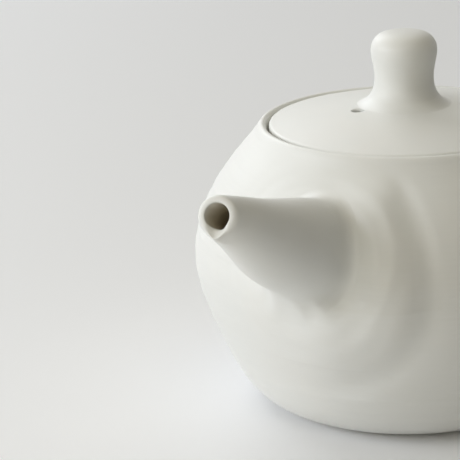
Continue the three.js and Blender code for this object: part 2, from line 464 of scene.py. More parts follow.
class PotWall:
    """The pot's outer wall as a surface: its radius and its facing at any place."""

    STEPS = 150

    # Throwing leaves two sets of rings, which wander up and down and die away at the foot and the shoulder
    RING_SPACING, FINE_SPACING = 0.0053, 0.0034
    FINE_SHARE, FINE_START = 0.6, 1.3
    WANDER, WANDER_RATE = 0.0012, 40
    THROWN_FROM, THROWN_TO = (0, 0.008), (0.054, 0.064)
    WOBBLE_RATE, WOBBLE_RISE = 0.9, 30

    # The swelling lies round an axis a little beside the spout's own, with angles from its right side up
    ASIDE, BELOW = 1.5 * MM, 2.5 * MM
    THUMBED_SIDE, THUMBED_SPAN = math.radians(-17), (math.radians(52), math.radians(110))
    HOLLOW_SIDE, HOLLOW_SPAN = math.radians(10), (math.radians(30), math.radians(75))
    TOP_SPAN = (0.1, 0.9)
    HOLLOW_EDGE = (8 * MM, 17.5 * MM)
    CREST, CREST_SHIFT, SWELL_EDGE = 14, 5, 28 * MM
    PLAIN_SHARE = 0.4
    GROOVE_SHARE, GROOVE_PLACE, GROOVE_WIDTH = 0.27, 25.9 * MM, 2.8 * MM
    SWELL_FROM, SWELL_TO = (0, 8 * MM), (61 * MM, 67.4 * MM)

    def __init__(self, pot, limbs):
        wide = pot.belly_radius / (DRAWN_RADIUS * MM)
        tall = pot.rim_height / (DRAWN_HEIGHT * MM)
        outline = natural_spline(WALL_OUTSIDE + RIM, self.STEPS)
        self.outline = [(r * MM * wide, z * MM * tall) for r, z in outline]
        self.belly_radius = pot.belly_radius
        crest = max(range(len(outline)), key=lambda i: outline[i][1])
        self.heights = [z for _, z in self.outline[:crest + 1]]
        self.radii = [r for r, _ in self.outline[:crest + 1]]
        self.throwing_depth = pot.throwing_depth
        self.wobble = pot.wobble
        self.swelling = pot.swelling
        self.spout_start, self.spout_way = spout_root(limbs), spout_way(limbs)

    def unevenness(self, azimuth, height):
        """How far throwing and the wiped joint have left the wall off its true radius."""
        fade = smoothstep(*self.THROWN_FROM, height) * (1 - smoothstep(*self.THROWN_TO, height))
        drift = self.WANDER * math.sin(azimuth + self.WANDER_RATE * height)
        rings = math.sin(FULL_TURN * (height + drift) / self.RING_SPACING)
        fine = FULL_TURN * (height - drift) / self.FINE_SPACING + self.FINE_START
        rings += self.FINE_SHARE * math.sin(fine)
        spot = Vector((math.cos(azimuth), math.sin(azimuth), height * self.WOBBLE_RISE)) * self.WOBBLE_RATE
        thrown = self.throwing_depth * rings + self.wobble * noise.noise(spot)
        return fade * thrown + self.swell(azimuth, height)

    def swell(self, azimuth, height):
        """The wall's slight rise round the spout, where the joint was wiped smooth."""
        across = self.belly_radius * math.cos(azimuth)
        back = self.belly_radius * math.sin(azimuth)
        if back > 0:
            return 0
        spot = Vector((across - self.ASIDE, back, height + self.BELOW)) - self.spout_start
        away = spot.cross(self.spout_way).length
        side = math.atan2(spot.dot(self.spout_way.cross(Vector((1, 0, 0)))), spot.x)
        thumbed = 1 - smoothstep(*self.THUMBED_SPAN, abs(side - self.THUMBED_SIDE))
        sunk = 1 - smoothstep(*self.HOLLOW_SPAN, abs(side - self.HOLLOW_SIDE))
        plain = self.PLAIN_SHARE * (1 - smoothstep(*self.TOP_SPAN, math.sin(side)))
        inner = 1 - sunk * (1 - smoothstep(*self.HOLLOW_EDGE, away))
        outer = 1 - smoothstep((self.CREST + self.CREST_SHIFT * sunk) * MM, self.SWELL_EDGE, away)
        rise = (plain + (1 - plain) * thumbed) * inner * outer
        off_groove = (away - self.GROOVE_PLACE) / self.GROOVE_WIDTH
        groove = self.GROOVE_SHARE * thumbed * math.exp(-off_groove ** 2)
        fade = smoothstep(*self.SWELL_FROM, height) * (1 - smoothstep(*self.SWELL_TO, height))
        return fade * self.swelling * (rise - groove)

    def radius(self, azimuth, height):
        i = min(max(bisect_left(self.heights, height), 1), len(self.heights) - 1)
        low, high = self.heights[i - 1], self.heights[i]
        share = (height - low) / (high - low)
        plain = self.radii[i - 1] + share * (self.radii[i] - self.radii[i - 1])
        return plain + self.unevenness(azimuth, height)

    def outside(self, point):
        """Distance of a point outside the wall, measured level."""
        azimuth = math.atan2(point.y, point.x)
        return math.hypot(point.x, point.y) - self.radius(azimuth, point.z)

    def facing(self, point):
        """The wall's outward direction at a point on it."""
        azimuth = math.atan2(point.y, point.x)
        turn = PROBE / self.radius(azimuth, point.z)
        rise = self.radius(azimuth, point.z + PROBE) - self.radius(azimuth, point.z - PROBE)
        bulge = self.radius(azimuth + turn, point.z) - self.radius(azimuth - turn, point.z)
        out = Vector((math.cos(azimuth), math.sin(azimuth), 0))
        round_pot = Vector((-out.y, out.x, 0))
        return (out - round_pot * (bulge / (2 * PROBE)) - Vector((0, 0, rise / (2 * PROBE)))).normalized()

    def landed(self, point, depth=0.00004):
        """The point moved level onto the wall, and sunk into it by a hair."""
        azimuth = math.atan2(point.y, point.x)
        radius = self.radius(azimuth, point.z) - depth
        return Vector((radius * math.cos(azimuth), radius * math.sin(azimuth), point.z))


def read_off(line, distance):
    """Radius at a distance, on an outline that runs from the mouth to the root."""
    for (r0, s0), (r1, s1) in zip(line, line[1:]):
        if s1 <= distance:
            return r0 + (r1 - r0) * (distance - s0) / (s1 - s0)
    return line[-1][0]


class Limb:
    """A hollow limb luted to the pot: its frame, its outlines and its flared foot on the wall."""

    OUTSIDE_STEPS, INSIDE_STEPS = 120, 36
    DEEPEST, HALVINGS = -10 * MM, 40

    # The flare is tight on this side, and widens over this span round the limb
    TIGHT_SIDE = math.radians(45)
    TIGHT_SPAN = (math.radians(85), math.radians(175))

    def __init__(self, wall, origin, way, side, outside, inside, flare, spread, uneven=()):
        self.wall = wall
        self.origin = Vector(origin)
        self.way = way
        self.side = side
        self.up = way.cross(side)
        self.outside = millimetres(natural_spline(outside, self.OUTSIDE_STEPS))
        self.uneven = [
            (millimetres(natural_spline(line, self.OUTSIDE_STEPS)), turn, power)
            for line, turn, power in uneven
        ]
        self.inside = millimetres(natural_spline(inside, self.INSIDE_STEPS))
        self.flare = flare
        self.spread = spread

    def point(self, radius, distance, angle):
        """A place in the pot's frame, from a radius, a distance along the axis and an angle."""
        return self.place(radius * math.cos(angle), radius * math.sin(angle), distance)

    def place(self, across, above, distance):
        """A place in the pot's frame, from its distances across, above and along the axis."""
        return self.origin + self.side * across + self.up * above + self.way * distance

    def outer_radius(self, distance, angle):
        """Radius of the outside at a distance along the axis, with its slim and full sides."""
        plain = read_off(self.outside, distance)
        strays = (
            (read_off(line, distance) - plain) * max(math.cos(angle - turn), 0) ** power
            for line, turn, power in self.uneven
        )
        return plain + sum(strays)

    def reach(self, radius_at, angle):
        """Distance along the axis at which the limb's surface meets the wall."""
        low, high = self.DEEPEST, self.outside[0][1]
        for _ in range(self.HALVINGS):
            middle = (low + high) / 2
            if self.wall.outside(self.point(radius_at(middle, angle), middle, angle)) > 0:
                high = middle
            else:
                low = middle
        return (low + high) / 2

    def foot(self, angle, bore):
        """The flare's three guide points at an angle, and where the bore meets the wall."""
        meets = self.reach(self.outer_radius, angle)
        off = abs(math.remainder(angle - self.TIGHT_SIDE, FULL_TURN))
        near = 1 - smoothstep(*self.TIGHT_SPAN, off)
        flare, spread = (wide + (tight - wide) * near for tight, wide in (self.flare, self.spread))
        start = meets + flare
        leaves = self.point(self.outer_radius(start, angle), start, angle)
        ahead = self.point(self.outer_radius(start - PROBE, angle), start - PROBE, angle)
        down = (ahead - leaves).normalized()
        crossing = self.point(self.outer_radius(meets, angle), meets, angle)
        facing = self.wall.facing(crossing)
        outward = crossing - self.point(0, meets, angle)
        along = (outward - facing * outward.dot(facing)).normalized()
        lands = self.wall.landed(crossing + along * spread)
        facing = self.wall.facing(lands)
        bend = leaves + down * ((lands - leaves).dot(facing) / down.dot(facing))
        drop = self.reach(lambda distance, angle: bore, angle)
        inner = self.wall.landed(self.point(bore, drop, angle))
        return start, leaves, bend, lands, inner, drop


class RoundMouth:
    """A limb's open end: its lip's section, turned about the limb's axis."""

    def __init__(self, section):
        self.section = section

    def lip(self, angle):
        """The lip's section at an angle, from the bore's edge outwards."""
        return self.section

    def moved(self, radius, distance, angle):
        """Distances across, above and along the axis."""
        return radius * math.cos(angle), radius * math.sin(angle), distance


class PouringMouth(RoundMouth):
    """The spout's mouth: trimmed aslant by hand, with a lower lip drawn out to a point."""

    # The mouth's shift off the spout's axis, its slants up and across, and where the spout bends to it
    ACROSS, ABOVE, AHEAD = -0.7 * MM, -0.38 * MM, 0.4 * MM
    LEAN, TURN = 0.16, -0.17
    BENT_FROM, BENT_TO = 9 * MM, 0.5 * MM

    # The lower lip's point: its place round the mouth, its size, and the span over which it fades
    BEAK_ANGLE = math.radians(-90 + 6.5)
    BEAK_WIDTH, BEAK_LENGTH, BEAK_DRAW = math.radians(16), 5 * MM, 0.75 * MM
    BEAK_INNER, BEAK_OUTER = 2.7 * MM, 4 * MM
    BEAK_SPAN = (math.radians(12), math.radians(58))

    # Sections are (radius, height above the mouth) in millimetres
    BORE_EDGE, BORE_ROUNDING = 2.78, 0.2
    OUTER_EDGE, OUTER_ROUNDING = 4.6, 1.35
    BEAK_BED = (
        (2.5, -1.75), (2.62, -1.3), (2.85, -0.95), (3.15, -0.62), (3.45, -0.3), (3.75, -0.02), (3.95, 0.16),
    )
    BEAK_TIP, BEAK_ROUNDING = (4.08, 0.02), 0.19
    BEAK_UNDER = ((4.36, -0.25), (4.5, -0.7), (4.6, -1.2))

    def __init__(self, length):
        crisp, shoulder = self.BORE_ROUNDING, self.OUTER_ROUNDING
        plain = arc((self.BORE_EDGE + crisp, -crisp), crisp, 180, 90, 3)
        plain += arc((self.OUTER_EDGE - shoulder, -shoulder), shoulder, 90, 8, 9)
        beak = [*self.BEAK_BED, *arc(self.BEAK_TIP, self.BEAK_ROUNDING, 120, 0, 3), *self.BEAK_UNDER]
        super().__init__([(r * MM, length + s * MM) for r, s in plain])
        self.beak = [(r * MM, length + s * MM) for r, s in beak]
        self.length = length

    def off_beak(self, angle):
        """Angle from the point of the lower lip."""
        return math.remainder(angle - self.BEAK_ANGLE, FULL_TURN)

    def lip(self, angle):
        off = abs(self.off_beak(angle))
        share = 1 - smoothstep(*self.BEAK_SPAN, off)
        return [
            (r0 + (r1 - r0) * share, s0 + (s1 - s0) * share)
            for (r0, s0), (r1, s1) in zip(self.section, self.beak)
        ]

    def moved(self, radius, distance, angle):
        near = smoothstep(self.length - self.BENT_FROM, self.length - self.BENT_TO, distance)
        drawn = math.exp(-(self.off_beak(angle) / self.BEAK_WIDTH) ** 2)
        drawn *= smoothstep(self.length - self.BEAK_LENGTH, self.length, distance)
        radius += self.BEAK_DRAW * drawn * smoothstep(self.BEAK_INNER, self.BEAK_OUTER, radius)
        across, above = radius * math.cos(angle), radius * math.sin(angle)
        distance += near * (self.AHEAD + self.LEAN * above + self.TURN * across)
        return across + near * self.ACROSS, above + near * self.ABOVE, distance


# Painted shade in the spout's bore: how much paler its colour is at the mouth than deep inside, and how soon
# the shade deepens
MOUTH_SHADE_FADE, BORE_SHADE_POWER = 0.65, 12


def limb_shape(limb, mouth, bore, segments):
    """The limb's closed shape: shaft, flare, the face against the wall, the bore and the lip."""
    shaft, flare, seat = 44, 14, 3
    inside, below_lip, narrowing = limb.inside, 0.2 * MM, 6
    parts = ([("lip", i) for i in range(len(mouth.section))] + [("shaft", i) for i in range(1, shaft)]
             + [("flare", i) for i in range(flare + 1)] + [("seat", i) for i in range(1, seat + 1)]
             + [("bore", i) for i in range(len(inside) - 2, -1, -1)])
    apart = 0.1 * MM
    shape = spun([(10 * MM + apart * i, apart * i) for i in range(len(parts))], segments, closed=True)
    # The bore layer holds the painted shade inside the bore, darkest deep in
    depth = shape.verts.layers.float.new("bore")
    ring = shape.verts.layers.int["ring"]
    feet = {}
    for vert in shape.verts:
        part, index = parts[vert[ring]]
        angle = math.atan2(vert.co.y, vert.co.x)
        key = round(angle * segments / FULL_TURN) % segments
        if key not in feet:
            feet[key] = (*limb.foot(angle, bore), mouth.lip(angle))
        start, leaves, bend, lands, inner, drop, lip = feet[key]
        if part == "lip":
            vert.co = limb.place(*mouth.moved(*lip[index], angle))
        elif part == "shaft":
            top = lip[-1][1]
            distance = top + (start - top) * index / shaft
            vert.co = limb.place(*mouth.moved(limb.outer_radius(distance, angle), distance, angle))
        elif part == "flare":
            t = index / flare
            vert.co = leaves * (1 - t) ** 2 + bend * (2 * t * (1 - t)) + lands * t ** 2
        elif part == "seat":
            vert.co = limb.wall.landed(lands.lerp(inner, index / seat))
        else:
            radius, distance = inside[index]
            rest, top = inside[-1][1], lip[0][1] - below_lip
            share = min(max((distance - rest) / (inside[0][1] - rest), 0), 1)
            radius -= max(inside[0][0] - lip[0][0], 0) * share ** narrowing
            vert.co = limb.place(*mouth.moved(radius, drop + (top - drop) * share, angle))
            # Painted shade: the bore's colour gets darker the deeper into the bore
            vert[depth] = 1 - MOUTH_SHADE_FADE * share ** BORE_SHADE_POWER
    return shape


def blade(outline, low, high, segments):
    """A solid shape turned about Z between two poles, as a tool for carving."""
    shape = spun([(0, low), *outline, (0, high)], segments)
    return finished(shape, "tool")


def cavity_outline():
    """The inner wall's section, from the neck down to the middle of the floor."""
    return millimetres(natural_spline(WALL_INSIDE, 70))


def body_outline(pot):
    """The pot's section below and above its outer wall: the foot, then lid seat, neck and inside."""
    seat, gallery, neck = pot.seat_height, pot.seat_radius, pot.neck_radius
    fillet = 0.5 * MM
    ledge = arc((gallery - fillet, seat + fillet), fillet, 0, -90, 4)
    edge = arc((neck + fillet, seat - fillet), fillet, 90, 180, 4)
    foot_edge = [(pot.foot_radius, 0), (pot.foot_radius + 0.45 * MM, 0.06 * MM)]
    return millimetres(FOOT) + foot_edge, ledge + edge + cavity_outline()


def make_body(pot, limbs, material):
    """The thrown pot, with the passage for the spout cut through its wall."""
    wall = PotWall(pot, limbs)
    foot, inside = body_outline(pot)
    outline = foot + wall.outline + inside
    shape = spun(outline, pot.segments)
    ring = shape.verts.layers.int["ring"]
    uneven = range(len(foot), len(foot) + len(wall.heights))
    for vert in shape.verts:
        if vert[ring] in uneven:
            azimuth = math.atan2(vert.co.y, vert.co.x)
            radius = math.hypot(vert.co.x, vert.co.y)
            true = 1 + wall.unevenness(azimuth, vert.co.z) / radius
            vert.co.x *= true
            vert.co.y *= true
    piece = finished(shape, "pot_body", material)
    radius, low, high = limbs.passage_radius, -12 * MM, 14 * MM
    passage = blade([(radius, low), (radius, high)], low, high, limbs.segments)
    passage.data.transform(spout_frame(limbs))
    carved(piece, passage, "DIFFERENCE")
    return piece


def spout_way(limbs):
    slope = limbs.spout_slope
    return Vector((0, -math.cos(slope), math.sin(slope)))


def spout_root(limbs):
    return Vector(limbs.spout_tip) - spout_way(limbs) * limbs.spout_length


def spout_frame(limbs):
    """Places a shape made along Z on the spout's axis, with its root at the origin."""
    way, side = spout_way(limbs), Vector((1, 0, 0))
    frame = Matrix((side, way.cross(side), way)).transposed().to_4x4()
    return Matrix.Translation(spout_root(limbs)) @ frame


def make_spout(pot, limbs, material):
    """The spout: a tapering tube with a flared foot and a pouring lip."""
    limb = Limb(
        PotWall(pot, limbs), spout_root(limbs), spout_way(limbs), Vector((1, 0, 0)),
        SPOUT_OUTSIDE, SPOUT_INSIDE, flare=(4.4 * MM, 11 * MM), spread=(3.2 * MM, 8.5 * MM),
        uneven=((SPOUT_SLIM, math.radians(-50), 2), (SPOUT_CREST, math.radians(88), 3)),
    )
    shape = limb_shape(limb, PouringMouth(limbs.spout_length), limbs.passage_radius, limbs.segments)
    return finished(shape, "spout_tube", material)


def make_handle(pot, limbs, material):
    """The hollow side handle, open at its end, with a flared foot on the wall."""
    slope, length = limbs.handle_slope, limbs.handle_length / MM
    way = Vector((math.cos(slope), 0, math.sin(slope)))
    limb = Limb(
        PotWall(pot, limbs), limbs.handle_root, way, Vector((0, 1, 0)),
        HANDLE_OUTSIDE, HANDLE_INSIDE, flare=(9 * MM, 9 * MM), spread=(6.5 * MM, 6.5 * MM),
    )
    bore_edge, crisp = 8.35, 0.5
    outer_edge, shoulder = 10.15, 1.3
    lip = millimetres(arc((bore_edge + crisp, length - crisp), crisp, 180, 90, 4)
                      + arc((outer_edge - shoulder, length - shoulder), shoulder, 90, 8, 8))
    shape = limb_shape(limb, RoundMouth(lip), HANDLE_INSIDE[-1][0] * MM, limbs.segments)
    return finished(shape, "side_handle", material)


def make_strainer(pot, limbs, strainer, material):
    """The pierced dome inside the wall, cut to the pot's round inside and drilled in rings."""
    place = spout_frame(limbs)
    outer, inner = strainer.radius, strainer.radius - strainer.thickness
    low, high, steps = -90, 30, 40
    shell = arc((0, strainer.centre), outer, low, high, steps)
    shell += arc((0, strainer.centre), inner, high, low, steps)
    piece = finished(spun(shell, limbs.segments), "strainer_dome", material)
    piece.data.transform(place)
    hair = 0.04 * MM
    cavity = [(max(r - hair, 0), z + hair) for r, z in reversed(cavity_outline())]
    room = finished(spun([*cavity, (0, cavity[-1][1])], pot.segments), "tool")
    carved(piece, room, "INTERSECT")
    pins = bmesh.new()
    for ring in range(strainer.rings + 1):
        for i in range(max(1, 6 * ring)):
            turn = Matrix.Rotation(FULL_TURN * i / max(1, 6 * ring), 4, "Z")
            lean = Matrix.Rotation(strainer.ring_step * ring, 4, "X")
            middle = Matrix.Translation((0, 0, -(outer + inner) / 2))
            at = place @ Matrix.Translation((0, 0, strainer.centre)) @ turn @ lean @ middle
            bmesh.ops.create_cone(
                pins, segments=16, cap_ends=True, radius1=strainer.hole_radius,
                radius2=strainer.hole_radius, depth=3 * strainer.thickness, matrix=at,
            )
    carved(piece, finished(pins, "tool"), "DIFFERENCE")
    return piece


# Rounding of the lid's edge
LID_BRIM = 0.9 * MM


def dome_height(lid, radius):
    """Height of the lid's top above the seat, at a radius."""
    edge = lid.radius - LID_BRIM
    sphere = (lid.rise ** 2 + edge ** 2) / (2 * lid.rise)
    return lid.edge_height + lid.rise - sphere + math.sqrt(sphere ** 2 - radius ** 2)


def make_lid(pot, lid, material):
    """The domed lid with its skirt and air hole."""
    seat, gap = pot.seat_height, lid.clearance
    skirt, foot = lid.skirt_radius, lid.clearance - lid.skirt_depth
    inner = skirt - 2.6 * MM
    bend, small, brim = 2.2 * MM, 0.5 * MM, LID_BRIM
    flat, steps = 24, 48
    under = [(inner - bend) * i / flat for i in range(flat + 1)]
    below = [(r, dome_height(lid, r) - lid.thickness) for r in under]
    hollow = arc((inner - bend, below[-1][1] - bend), bend, 82, 0, 7)
    toe_in = arc((inner + small * 1.8, foot + small * 1.8), small * 1.8, 180, 270, 5)
    toe_out = arc((skirt - small * 1.4, foot + small * 1.4), small * 1.4, -90, 0, 5)
    root = arc((skirt + small * 0.6, gap - small * 0.6), small * 0.6, 180, 90, 4)
    heel = arc((lid.radius - small, gap + small), small, -90, 0, 4)
    shoulder = arc((lid.radius - brim, dome_height(lid, lid.radius - brim) - brim), brim, 0, 76, 8)
    top = [(lid.radius - brim * 1.25) * (1 - i / steps) for i in range(steps + 1)]
    crown = [(r, dome_height(lid, r)) for r in top]
    outline = below + hollow + toe_in + toe_out + root + heel + shoulder + crown
    shape = spun([(r, z + seat) for r, z in outline], lid.segments)
    piece = finished(shape, "lid_dome", material)
    x, y = lid.vent_place
    high = seat + dome_height(lid, math.hypot(x, y))
    low = high - lid.thickness
    flare = 0.45 * MM
    vent = [(lid.vent_radius + 3 * flare, low - 3 * flare)]
    vent += arc((lid.vent_radius + flare, low + flare), flare, 250, 180, 5)
    vent += arc((lid.vent_radius + flare, high - flare), flare, 180, 105, 7)
    vent += [(lid.vent_radius + 4 * flare, high + 2 * flare)]
    tool = blade(vent, low - 3 * flare, high + 2 * flare, 48)
    tool.data.transform(Matrix.Translation((x, y, 0)))
    carved(piece, tool, "DIFFERENCE")
    return piece


def make_knob(pot, lid, material):
    """The thumb-shaped knob, its flared foot smoothed out onto the crown."""
    crown = pot.seat_height + dome_height(lid, 0)
    spread, hair = 11.6 * MM, 0.03 * MM
    under_steps, side_steps, segments = 6, 64, 112

    def on_dome(radius):
        return radius, pot.seat_height + dome_height(lid, radius) - hair

    under = [on_dome(spread * i / under_steps) for i in range(under_steps + 1)]
    edge = on_dome(spread)
    rising = [(edge[0] / MM, (edge[1] - crown) / MM), (10.6, -0.27), *KNOB_OUTSIDE]
    side = [(max(r, 0) * MM, crown + h * MM) for r, h in natural_spline(rising, side_steps)]
    side[-1] = (0, side[-1][1])
    return finished(spun(under + side[1:], segments), "lid_knob", material)


def new_group(name, inputs, outputs):
    """A shader node group with named inputs and outputs."""
    tree = bpy.data.node_groups.new(name, "ShaderNodeTree")
    for label, kind, default in inputs:
        socket = tree.interface.new_socket(name=label, in_out="INPUT", socket_type="NodeSocket" + kind)
        if default is not None:
            socket.default_value = default
    for label, kind in outputs:
        tree.interface.new_socket(name=label, in_out="OUTPUT", socket_type="NodeSocket" + kind)
    given = tree.nodes.new("NodeGroupInput")
    wanted = tree.nodes.new("NodeGroupOutput")
    return tree, given.outputs, wanted.inputs


def add_node(tree, kind, inputs=(), **settings):
    """A node with its settings, and its inputs set to values or linked to sockets."""
    made = tree.nodes.new("ShaderNode" + kind)
    for name, value in settings.items():
        setattr(made, name, value)
    for key, value in dict(inputs).items():
        if isinstance(value, bpy.types.NodeSocket):
            tree.links.new(value, made.inputs[key])
        else:
            made.inputs[key].default_value = value
    return made


def calculate(tree, operation, *values):
    """A Math node's result."""
    return add_node(tree, "Math", enumerate(values), operation=operation).outputs[0]


def times(tree, *values):
    """The values multiplied, from the first to the last."""
    return reduce(lambda product, value: calculate(tree, "MULTIPLY", product, value), values)


def plus(tree, *values):
    """The values added, from the first to the last."""
    return reduce(lambda total, value: calculate(tree, "ADD", total, value), values)


def ramped(tree, value, low, high, start=0.0, end=1.0):
    """A value mapped smoothly from one range to another."""
    made = add_node(
        tree, "MapRange", {"Value": value, "From Min": low, "From Max": high, "To Min": start, "To Max": end},
        interpolation_type="SMOOTHSTEP",
    )
    return made.outputs["Result"]


def noise_value(tree, vector, scale, detail=2.0, roughness=0.5):
    made = add_node(
        tree, "TexNoise", {"Vector": vector, "Scale": scale, "Detail": detail, "Roughness": roughness},
    )
    return made.outputs["Fac"]


def throwing_rings_group():
    """Soft uneven rings square to the Z axis of its vector, as left by the fingers on the wheel."""
    tree, given, wanted = new_group(
        "Throwing rings",
        [("Vector", "Vector", None), ("Spacing", "Float", 0.003), ("Drift", "Float", 0.001),
         ("Depth", "Float", 0.00002)],
        [("Height", "Float")],
    )
    place = add_node(tree, "SeparateXYZ", {"Vector": given["Vector"]}).outputs
    slow = noise_value(tree, given["Vector"], scale=28.0, detail=1.0)
    wander = times(tree, calculate(tree, "SUBTRACT", slow, 0.5), given["Drift"])
    turned = times(tree, plus(tree, place["Z"], wander), FULL_TURN)
    turns = calculate(tree, "DIVIDE", turned, given["Spacing"])
    wave = calculate(tree, "SINE", turns)
    second = calculate(tree, "SINE", times(tree, turns, 2.37))
    mixed = plus(tree, wave, times(tree, second, 0.4))
    patches = noise_value(tree, given["Vector"], scale=45.0, detail=0.0)
    strength = ramped(tree, patches, 0.35, 0.65, start=0.25)
    tree.links.new(times(tree, mixed, strength, given["Depth"]), wanted["Height"])
    return tree


def height_and_radius(tree, vector):
    """A vector's height along Z, and its distance from Z."""
    place = add_node(tree, "SeparateXYZ", {"Vector": vector}).outputs
    flat = add_node(tree, "CombineXYZ", {"X": place["X"], "Y": place["Y"], "Z": 0.0}).outputs[0]
    return place["Z"], add_node(tree, "VectorMath", {0: flat}, operation="LENGTH").outputs["Value"]


def luting_rings_group():
    """Faint rings round the Z axis of its vector, where a limb's foot was wiped onto the wall."""
    tree, given, wanted = new_group(
        "Luting rings",
        [("Vector", "Vector", None), ("Inner radius", "Float", 0.016), ("Outer radius", "Float", 0.034),
         ("Spacing", "Float", 0.0042), ("Depth", "Float", 0.00006)],
        [("Height", "Float")],
    )
    height, radius = height_and_radius(tree, given["Vector"])
    wander = times(tree, noise_value(tree, given["Vector"], scale=60.0, detail=1.0), 0.0025)
    turned = times(tree, plus(tree, radius, wander), FULL_TURN)
    turns = calculate(tree, "DIVIDE", turned, given["Spacing"])
    rise = ramped(tree, radius, times(tree, given["Inner radius"], 0.8), given["Inner radius"])
    fall = ramped(tree, radius, given["Inner radius"], given["Outer radius"], start=1.0, end=0.0)
    front = ramped(tree, height, -0.012, 0.0)
    mask = times(tree, rise, fall, front)
    wave = times(tree, calculate(tree, "SINE", turns), given["Depth"])
    tree.links.new(times(tree, wave, mask), wanted["Height"])
    return tree


def glaze_skin_group():
    """The glaze's own surface: a slight orange peel, long soft swells and rare pinholes."""
    tree, given, wanted = new_group(
        "Glaze skin",
        [("Vector", "Vector", None), ("Peel depth", "Float", 0.000004), ("Swell depth", "Float", 0.00005),
         ("Pinhole depth", "Float", 0.00003)],
        [("Height", "Float")],
    )
    peel = times(tree, noise_value(tree, given["Vector"], scale=900.0, detail=1.0), given["Peel depth"])
    swell = times(tree, noise_value(tree, given["Vector"], scale=70.0, detail=1.0), given["Swell depth"])
    rarity, dot_edge = 0.965, (0.02, 0.035)
    cells = add_node(tree, "TexVoronoi", {"Vector": given["Vector"], "Scale": 150.0}).outputs
    rare = add_node(tree, "SeparateColor", {"Color": cells["Color"]}).outputs["Red"]
    chosen = calculate(tree, "GREATER_THAN", rare, rarity)
    dot = times(tree, ramped(tree, cells["Distance"], *dot_edge, start=1.0, end=0.0), chosen)
    hollow = times(tree, dot, times(tree, given["Pinhole depth"], -1.0))
    tree.links.new(plus(tree, peel, swell, hollow), wanted["Height"])
    return tree


def glaze_tone_group():
    """Colour and gloss of the glaze as it runs from thin to thick."""
    tree, given, wanted = new_group(
        "Glaze tone",
        [("Vector", "Vector", None), ("Thin", "Color", (1, 1, 1, 1)), ("Thick", "Color", (1, 1, 1, 1)),
         ("Pooling", "Float", 0.0), ("Roughness", "Float", 0.35), ("Patch scale", "Float", 32.0)],
        [("Color", "Color"), ("Roughness", "Float")],
    )
    cloud = noise_value(tree, given["Vector"], scale=given["Patch scale"], detail=3.0, roughness=0.55)
    spread = ramped(tree, cloud, 0.36, 0.64)
    thick = calculate(tree, "MAXIMUM", times(tree, spread, 0.6), given["Pooling"])
    colour = blended(tree, thick, given["Thin"], given["Thick"])
    fine = noise_value(tree, given["Vector"], scale=210.0)
    sheen = times(tree, calculate(tree, "SUBTRACT", fine, 0.5), 0.12)
    settled = times(tree, thick, -0.06)
    rough = plus(tree, given["Roughness"], plus(tree, sheen, settled))
    tree.links.new(colour, wanted["Color"])
    tree.links.new(rough, wanted["Roughness"])
    return tree


def band_group():
    """A mask over a ring-shaped band, between two heights and two radii, with soft edges."""
    tree, given, wanted = new_group(
        "Band",
        [("Vector", "Vector", None), ("Low", "Float", 0.0), ("High", "Float", 0.0),
         ("Inner", "Float", 0.0), ("Outer", "Float", 0.0), ("Softness", "Float", 0.0002)],
        [("Mask", "Float")],
    )
    height, radius = height_and_radius(tree, given["Vector"])
    waver = calculate(tree, "SUBTRACT", noise_value(tree, given["Vector"], scale=400.0, detail=1.0), 0.5)
    soft = given["Softness"]
    drift = times(tree, waver, soft, 2.0)
    insides = []
    for value, low, high in ((height, "Low", "High"), (radius, "Inner", "Outer")):
        value = plus(tree, value, drift)
        past_low = ramped(tree, value, calculate(tree, "SUBTRACT", given[low], soft), given[low])
        short_of_high = ramped(tree, value, given[high], plus(tree, given[high], soft), start=1.0, end=0.0)
        insides.append(times(tree, past_low, short_of_high))
    tree.links.new(times(tree, *insides), wanted["Mask"])
    return tree


def shared_groups():
    """The effects that the glazes share, made once."""
    makers = {
        "Throwing rings": throwing_rings_group, "Luting rings": luting_rings_group,
        "Glaze skin": glaze_skin_group, "Glaze tone": glaze_tone_group, "Band": band_group,
    }
    return {name: bpy.data.node_groups.get(name) or make() for name, make in makers.items()}


def use_group(tree, group, inputs):
    return add_node(tree, "Group", inputs, node_tree=group).outputs


GLAZE_IOR = 1.5
CLAY_ROUGHNESS = 0.85
GRIT_DEPTH = 0.00001


